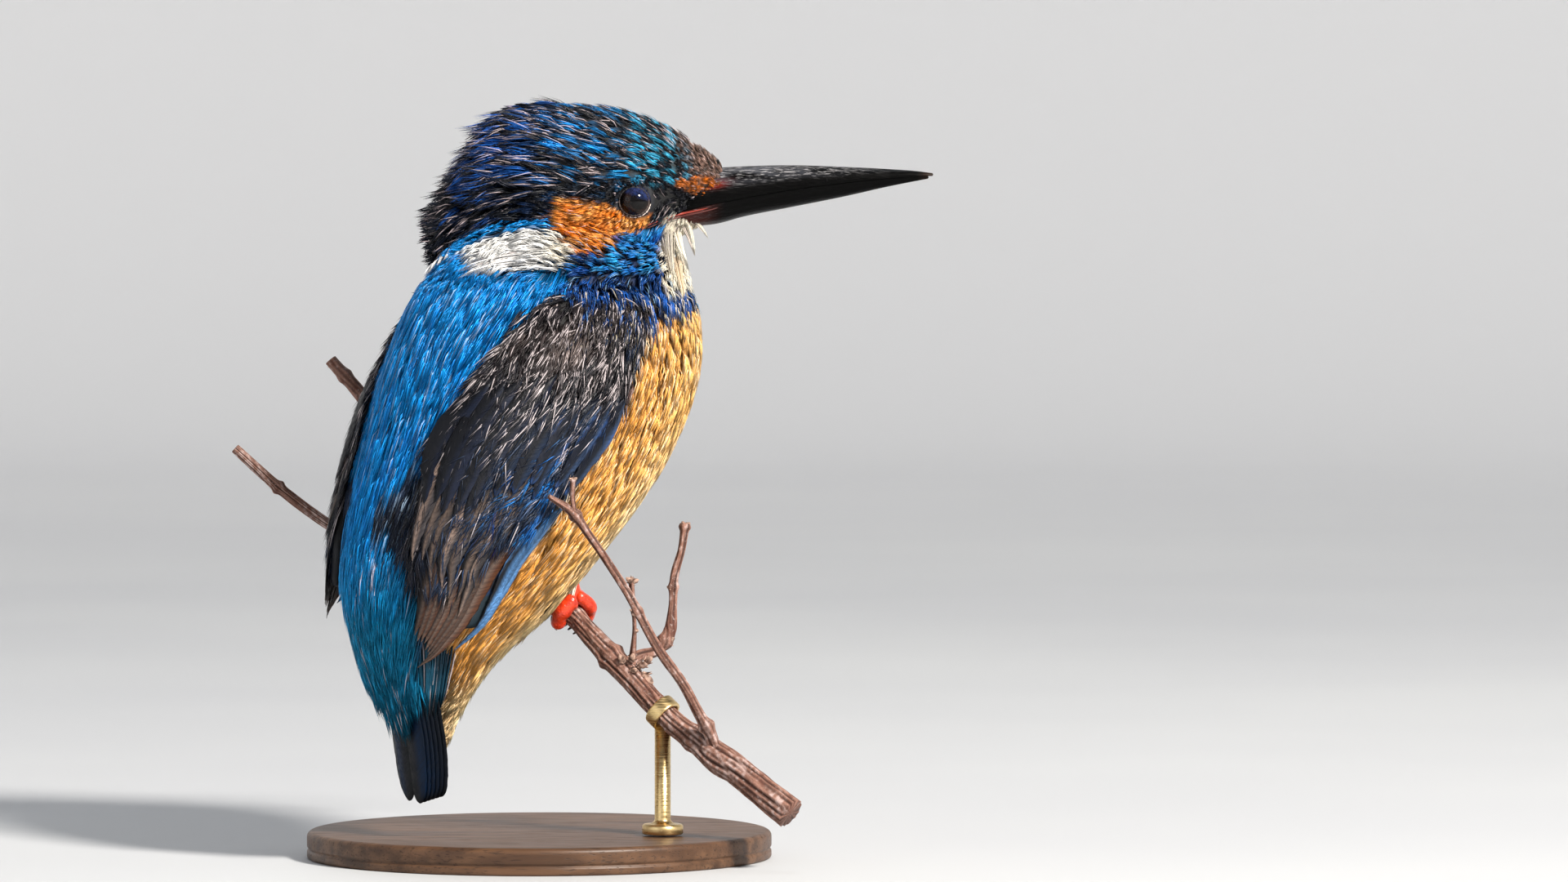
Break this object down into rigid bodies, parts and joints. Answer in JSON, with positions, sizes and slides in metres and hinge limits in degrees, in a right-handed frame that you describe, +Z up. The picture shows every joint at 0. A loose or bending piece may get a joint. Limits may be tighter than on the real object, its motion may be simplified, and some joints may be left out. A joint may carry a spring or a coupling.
{
  "type": "perched kingfisher model",
  "caption": "Life-size perched kingfisher with a long dagger bill, turned head, folded wings and stub tail, on a cut twig held over a round base.",
  "frame": {"origin": "centre of the round base's underside", "axes": "+X the way the bill points, +Z up, +Y to the bird's left of the bill; the trunk is heading 40 degrees from +X towards +Y"},
  "size_m": [0.125, 0.082, 0.133],
  "materials": {
    "plumage": "wet feathers, glossy strands",
    "wing_plumage": "flight feathers, satin",
    "horn": "black horn, semi-gloss",
    "eye": "clear wet gloss",
    "foot_skin": "wet scaly skin",
    "bark": "ridged bark, matt",
    "base_wood": "dark turned wood, satin",
    "brass": "satin brass"
  },
  "bodies": {
    "root": {"trunk": "plumage", "neck": "plumage", "head": "plumage", "tail": "wing_plumage", "wing_left": "wing_plumage", "wing_right": "wing_plumage", "bill_upper": "horn", "bill_lower": "horn", "eye_left": "eye", "eye_right": "eye", "leg_left": "foot_skin", "leg_right": "foot_skin", "claw_left_1": "horn", "claw_left_2": "horn", "claw_left_3": "horn", "claw_left_4": "horn", "claw_right_1": "horn", "claw_right_2": "horn", "claw_right_3": "horn", "claw_right_4": "horn", "perch_twig": "bark", "perch_front_shoot": "bark", "perch_back_shoot": "bark", "perch_left_shoot": "bark", "stand_rod": "brass", "stand_base": "base_wood"}
  },
  "joints": []
}
